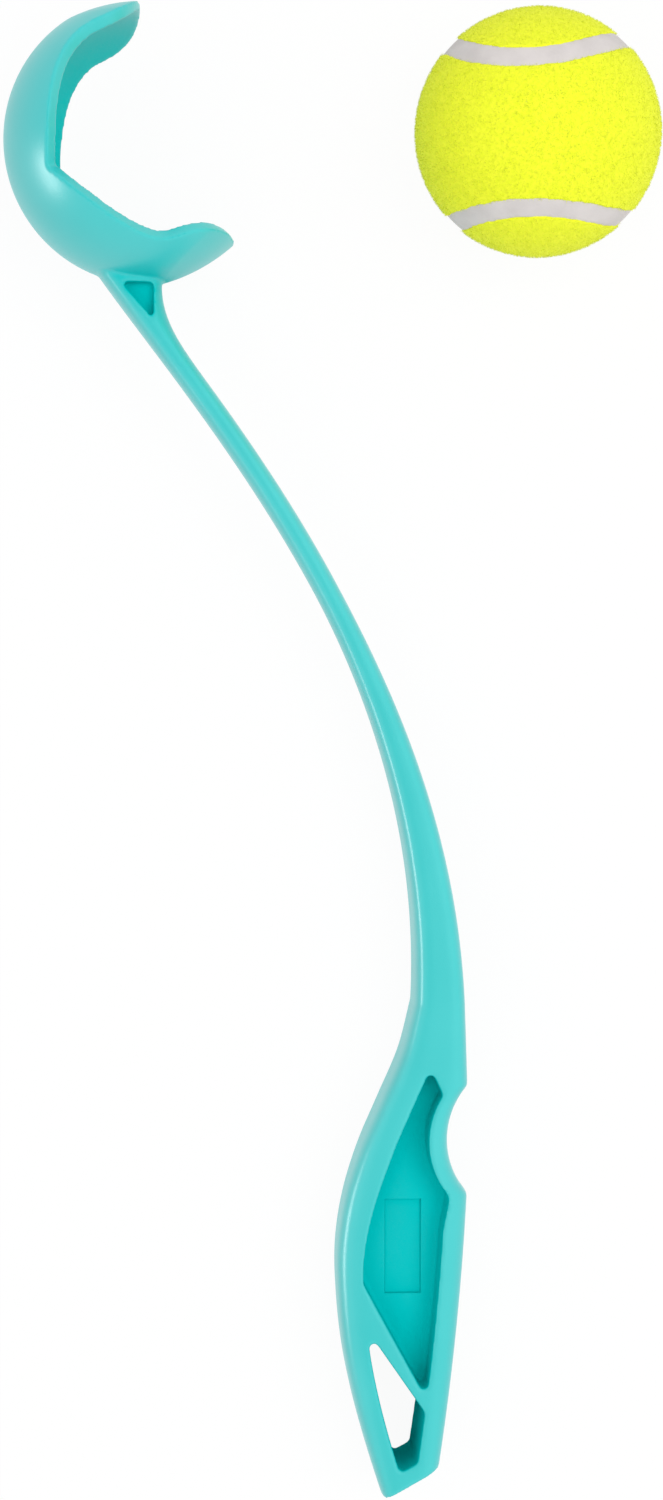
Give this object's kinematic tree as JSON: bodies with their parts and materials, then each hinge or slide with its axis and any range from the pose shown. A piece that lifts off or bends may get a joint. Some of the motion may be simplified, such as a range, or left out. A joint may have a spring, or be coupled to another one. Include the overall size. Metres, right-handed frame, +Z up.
{
  "type": "dog ball launcher stick",
  "caption": "Curved plastic throwing stick with a clawed ball cup and a cored-out grip with a hang hole, lying on its side beside its felt ball.",
  "frame": {"origin": "on the ground, under the middle of the box around the launcher and its ball", "axes": "+Y along the stick from the grip to the cup, +X across from the stick to the ball, +Z up from the ground"},
  "size_m": [0.1704, 0.3896, 0.0635],
  "materials": {
    "launcher_plastic": "satin",
    "core_rubber": "matte",
    "felt": "matte",
    "seam_rubber": "matte"
  },
  "bodies": {
    "launcher": {"launcher": "launcher_plastic"},
    "ball": {"rubber_half_a": "core_rubber", "rubber_half_b": "core_rubber", "felt_panel_a": "felt", "felt_panel_b": "felt", "seam": "seam_rubber"}
  },
  "joints": [
    {"name": "ball_roll", "type": "slide", "parent": "launcher", "child": "ball", "axis": [-0.9932, 0.1168, 0], "range_m": [0, 0.081]}
  ]
}
